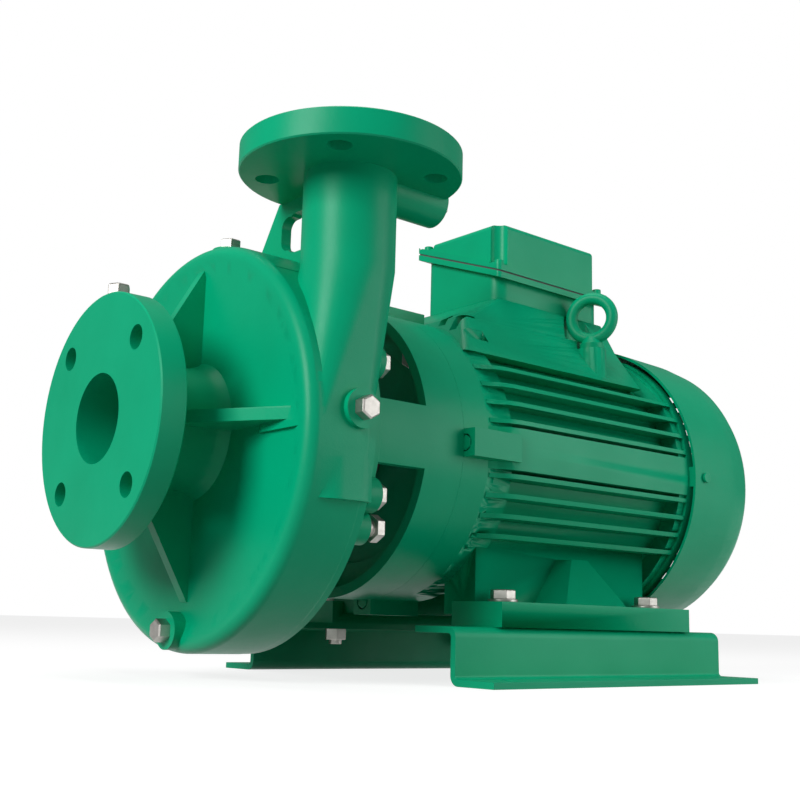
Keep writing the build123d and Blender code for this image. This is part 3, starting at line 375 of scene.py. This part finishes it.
def throat_form(x, y, corner, r, top):
    """Loft from a rounded rectangle at the drum's middle to the round branch, and the branch above it."""
    bpy.ops.object.select_all(action="DESELECT")
    place = ((x[0] + x[1]) / 2 * MM, (y[0] + y[1]) / 2 * MM, -DRUM_DROP * MM)
    bpy.ops.mesh.primitive_plane_add(size=1.0, location=place)
    piece = bpy.context.object
    piece.scale = ((x[1] - x[0]) * MM, (y[1] - y[0]) * MM, 1.0)
    settle(piece)
    bpy.ops.object.mode_set(mode="EDIT")
    bpy.ops.mesh.select_all(action="SELECT")
    bpy.ops.mesh.bevel(offset=corner * MM, segments=15, affect="VERTICES")
    bpy.ops.mesh.select_all(action="DESELECT")
    bpy.ops.mesh.primitive_circle_add(vertices=64, radius=r * MM, fill_type="NOTHING",
                                      location=(BRANCH_X * MM, BRANCH_Y * MM, THROAT_TOP * MM))
    bpy.ops.mesh.select_all(action="SELECT")
    bpy.ops.mesh.delete(type="ONLY_FACE")
    bpy.ops.mesh.select_all(action="SELECT")
    bpy.ops.mesh.bridge_edge_loops()
    bpy.ops.mesh.select_all(action="DESELECT")
    bpy.context.tool_settings.mesh_select_mode = (False, True, False)
    bpy.ops.object.mode_set(mode="OBJECT")
    points = piece.data.vertices
    for edge in piece.data.edges:
        edge.select = all(abs(points[i].co.z - THROAT_TOP * MM) < 1e-5 for i in edge.vertices)
    bpy.ops.object.mode_set(mode="EDIT")
    bpy.ops.mesh.extrude_region_move(TRANSFORM_OT_translate={"value": (0, 0, (top - THROAT_TOP) * MM)})
    bpy.ops.mesh.select_all(action="SELECT")
    bpy.ops.mesh.fill_holes(sides=0)
    bpy.ops.mesh.select_all(action="SELECT")
    bpy.ops.mesh.normals_make_consistent(inside=False)
    bpy.ops.object.mode_set(mode="OBJECT")
    return piece


def volute_casing():
    """Casing with its throat running straight up from the drum's side, and a wide web hole."""
    casing = copy_of("volute_casing", "volute_casing_skin")
    old_loft = combine(block((60, DRUM_REAR + 1), (-167, -83.4), (PLUG_BOSS_TOP, THROAT_TOP - 0.6)),
                       "DIFFERENCE", rod("x", DRUM_R - 0.3, (50, 145), (0.0, -DRUM_DROP), 256))
    combine(casing, "DIFFERENCE", block((DRUM_REAR, 176), (-166, -84), (-76, THROAT_TOP - 1)), old_loft)
    rim = tube(DRUM_R - SKIN, DRUM_R - DRUM_RIM, (112, DRUM_REAR - SKIN), (0.0, -DRUM_DROP))
    register = tube(REGISTER_R - SKIN, COVER_BORE_R + SKIN, (130, REGISTER_FACE - SKIN))
    skin = throat_form(**THROAT_FOOT, r=PIPE_R + SKIN, top=FLANGE_LOW + 1)
    combine(skin, "DIFFERENCE", rod("x", LANTERN_CLEARANCE_R, (REGISTER_FACE - 2 * SKIN, 200), SHAFT_LINE),
            rod("x", COVER_BORE_R + 2 * SKIN, (124, REGISTER_FACE + 1), SHAFT_LINE))
    combine(casing, "UNION", rim, register, skin)
    passage = throat_form(**PASSAGE_FOOT, r=BRANCH_BORE_R + SKIN, top=FLANGE_LOW + 21)
    combine(casing, "DIFFERENCE", passage)
    lying = (-WEB_HOLE_X[1], -WEB_HOLE_X[0])
    hole = round_upright(block(WEB_HOLE_Z, WEB_HOLE_Y, lying), WEB_HOLE_CORNER)
    hole.rotation_euler.y = radians(-90)
    combine(casing, "DIFFERENCE", settle(hole))
    return stand_for(round_edges(casing, CAST_EDGE, limit=40.0), "volute_casing")


def motor_housing():
    """Housing with its longer front ring and lugs, the eye bolt's relief and the cast pockets."""
    housing = copy_of("motor_housing", "motor_housing_skin")
    combine(housing, "UNION", tube(RING_R, RING_R - RING_WALL, (RING_START, RING_END)))
    for turn in (0, 90, 180, 270):
        lug = block((RING_START, LUG_END), (-LUG_HALF, LUG_HALF), (LUG_R - LUG_DEPTH, LUG_R), turn)
        combine(housing, "UNION", lug)
    relief = rod("z", EYE_RELIEF_R, (EYE_SEAT + EYE_RELIEF_RISE, BOX_LOW), (EYE_X, EYE_Y))
    pockets = [block(POCKET_X, (y - POCKET_HALF_Y, y + POCKET_HALF_Y), (z - POCKET_HALF_Z, z + POCKET_HALF_Z))
               for y, z in SADDLE_POCKETS]
    combine(housing, "DIFFERENCE", relief, *pockets)
    return stand_for(round_edges(housing, CAST_EDGE, limit=40.0), "motor_housing")


def rear_end_shield():
    """End shield with the outer flange that closes the view between the fins and the cowl."""
    shield = copy_of("rear_end_shield", "rear_end_shield_skin")
    combine(shield, "UNION", tube(END_FLANGE_R, END_FLANGE_IN_R, END_FLANGE_X))
    return stand_for(round_edges(shield, CAST_EDGE), "rear_end_shield")


def trimmed(piece, offset, keep_above):
    """Cuts a block at the box's inclined seam, moved by an offset along its normal."""
    normal = Vector((0, -SEAM_LEAN, 1)).normalized()
    pick(piece)
    bpy.ops.object.mode_set(mode="EDIT")
    bpy.ops.mesh.select_all(action="SELECT")
    bpy.ops.mesh.bisect(plane_co=Vector((0, 0, SEAM_Z * MM)) + normal * offset * MM, plane_no=normal,
                        use_fill=True, clear_inner=keep_above, clear_outer=not keep_above)
    bpy.ops.object.mode_set(mode="OBJECT")
    return piece


def rim_layer(grow, low, high, corner):
    """A layer parallel to the seam, from low to high offsets, grown past the box's sides."""
    layer = block((BOX_X[0] - grow, BOX_X[1] + grow), (-BOX_HALF - grow, BOX_HALF + grow),
                  (BLANK_LOW, BLANK_HIGH))
    round_upright(layer, corner)
    return trimmed(trimmed(layer, low, True), high, False)


def box_screw_places():
    return [(x, y) for x in (BOX_X[0] + SCREW_IN, BOX_X[1] - SCREW_IN)
            for y in (-BOX_HALF + SCREW_IN, BOX_HALF - SCREW_IN)]


def terminal_box():
    """Base, seal, lid with corner pockets, and the painted screws that sit in them."""
    base = round_upright(block(BOX_X, (-BOX_HALF, BOX_HALF), (BOX_LOW, BLANK_HIGH)), BASE_CORNER)
    trimmed(base, 0.0, False)
    combine(base, "UNION", rim_layer(BOX_RIM, -LIP, 0.0, RIM_CORNER))
    base.name = "terminal_box_base_skin"
    stand_for(round_edges(base, BOX_EDGE), "terminal_box_base")
    seal = rim_layer(BOX_RIM - 1.0, 0.0, SEAL, SEAL_CORNER)
    seal.name = "terminal_box_gasket_skin"
    stand_for(seal, "terminal_box_gasket")
    lid = round_upright(block(BOX_X, (-BOX_HALF, BOX_HALF), (160, BOX_TOP)), LID_CORNER,
                        top=BOX_TOP, top_width=LID_TOP_EDGE)
    trimmed(lid, SEAL, True)
    combine(lid, "UNION", rim_layer(BOX_RIM, SEAL, SEAL + LIP, RIM_CORNER))
    screws = None
    for x, y in box_screw_places():
        seat = SEAM_Z + SEAM_LEAN * y + (SEAL + LIP) * 1.08
        combine(lid, "DIFFERENCE", rod("z", LID_POCKET_R, (seat, BLANK_HIGH + 2), (x, y), 48))
        screw = rod("z", SCREW_R, (seat - SCREW_SUNK, seat + SCREW_PROUD), (x, y), 32)
        screws = screw if screws is None else combine(screws, "UNION", screw)
    lid.name = "terminal_box_lid_skin"
    stand_for(round_edges(lid, BOX_EDGE), "terminal_box_lid")
    screws.name = "terminal_box_screws_skin"
    stand_for(round_edges(screws, BOLT_EDGE), "terminal_box_screws", "green_enamel")


def eye_bolt():
    """Lifting eye on its collar, turned as the photograph shows it."""
    bpy.ops.object.select_all(action="DESELECT")
    centre = Vector((EYE_X, EYE_Y, EYE_SEAT + EYE_RISE)) * MM
    bpy.ops.mesh.primitive_torus_add(location=centre, rotation=(radians(90), 0, radians(EYE_TURN)),
                                     major_radius=EYE_MIDDLE_R * MM, minor_radius=EYE_WIRE_R * MM,
                                     major_segments=72, minor_segments=28)
    ring = settle(bpy.context.object)
    bpy.ops.object.select_all(action="DESELECT")
    bpy.ops.mesh.primitive_cone_add(vertices=64, **EYE_NECK,
                                    location=Vector((EYE_X, EYE_Y, EYE_SEAT + EYE_NECK_RISE)) * MM)
    neck = settle(bpy.context.object)
    collar = rod("z", EYE_COLLAR_R, (EYE_SEAT - 1, EYE_SEAT + 5), (EYE_X, EYE_Y), 64)
    combine(ring, "UNION", neck, collar)
    ring.name = "eye_bolt_skin"
    return stand_for(round_edges(ring, BOX_EDGE), "eye_bolt")


for node_name, node_object in frame["nodes"].items():
    paint(node_object, SLOT_OF[node_name])
volute_casing()
motor_housing()
rear_end_shield()
terminal_box()
eye_bolt()
for node_name in CASTINGS:
    dress(node_name, CAST_EDGE)
for node_name in PAINTED_SCREWS:
    dress(node_name, BOLT_EDGE, "green_enamel")
for node_name in HARDWARE:
    dress(node_name, BOLT_EDGE)
for node_name in ("near_rail", "far_rail", "fan_cover"):
    dress(node_name, SHEET_EDGE)
for node_name in ("impeller", "casing_cover", "shaft", "impeller_nut", "deflector_ring"):
    dress(node_name, TURNED_EDGE)


def studio_floor():
    bpy.ops.object.select_all(action="DESELECT")
    bpy.ops.mesh.primitive_plane_add(size=60.0, location=(0, 0, FLOOR_Z))
    floor = bpy.context.object
    floor.name = "floor"
    material, tree, shader, add = node_tree("floor_paper")
    shader.inputs["Roughness"].default_value = 0.9
    shader.inputs["Specular IOR Level"].default_value = 0.1
    path = add("ShaderNodeLightPath")
    seen = add("ShaderNodeMath", operation="MAXIMUM")
    tree.links.new(path.outputs["Is Camera Ray"], seen.inputs[0])
    tree.links.new(path.outputs["Is Glossy Ray"], seen.inputs[1])
    glow = add("ShaderNodeMath", operation="MULTIPLY")
    glow.inputs[1].default_value = 0.80
    tree.links.new(seen.outputs[0], glow.inputs[0])
    shader.inputs["Base Color"].default_value = (0.28, 0.28, 0.28, 1.0)
    shader.inputs["Emission Color"].default_value = (1.0, 1.0, 1.0, 1.0)
    tree.links.new(glow.outputs[0], shader.inputs["Emission Strength"])
    floor.data.materials.append(material)
    return floor


def studio_world():
    world = bpy.data.worlds.new("studio")
    bpy.context.scene.world = world
    world.use_nodes = True
    tree = world.node_tree
    back = tree.nodes["Background"]
    path = tree.nodes.new("ShaderNodeLightPath")
    mix = tree.nodes.new("ShaderNodeMix")
    mix.data_type = "FLOAT"
    mix.inputs["A"].default_value = 0.20
    mix.inputs["B"].default_value = 1.0
    tree.links.new(path.outputs["Is Camera Ray"], mix.inputs["Factor"])
    tree.links.new(mix.outputs["Result"], back.inputs["Strength"])
    back.inputs["Color"].default_value = (1, 1, 1, 1)


def soft_lamp(name, place, aim, size, power):
    lamp = bpy.data.lights.new(name, "AREA")
    lamp.shape = "RECTANGLE"
    lamp.size, lamp.size_y = size
    lamp.energy = power
    holder = bpy.data.objects.new(name, lamp)
    bpy.context.scene.collection.objects.link(holder)
    holder.location = place
    holder.rotation_euler = (Vector(aim) - Vector(place)).to_track_quat("-Z", "Y").to_euler()
    return holder


def photo_camera():
    ahead = Vector((sin(CAMERA_YAW) * cos(CAMERA_PITCH), cos(CAMERA_YAW) * cos(CAMERA_PITCH),
                    sin(CAMERA_PITCH)))
    level = Vector((cos(CAMERA_YAW), -sin(CAMERA_YAW), 0.0))
    upright = level.cross(ahead)
    right = level * cos(CAMERA_ROLL) + upright * sin(CAMERA_ROLL)
    up = upright * cos(CAMERA_ROLL) - level * sin(CAMERA_ROLL)
    camera = bpy.data.cameras.new("photo_camera")
    camera.lens = LENS_MM
    camera.sensor_width = SENSOR_MM
    camera.clip_start = 0.01
    camera.clip_end = 100.0
    holder = bpy.data.objects.new("photo_camera", camera)
    bpy.context.scene.collection.objects.link(holder)
    turn = Matrix((right, up, -ahead)).transposed().to_4x4()
    holder.matrix_world = Matrix.Translation(CAMERA_PLACE) @ turn
    bpy.context.scene.camera = holder


studio_floor()
studio_world()
soft_lamp("key", (-2.1, -0.4, 1.0), (0.25, 0.0, 0.0), (1.1, 1.1), 50.0)
soft_lamp("top", (0.1, 0.0, 2.2), (0.3, 0.0, 0.0), (1.6, 1.0), 18.0)
soft_lamp("front", (1.3, -1.2, 0.3), (0.5, 0.0, 0.0), (1.0, 1.0), 9.0)
photo_camera()
bpy.context.scene.view_settings.view_transform = "Standard"
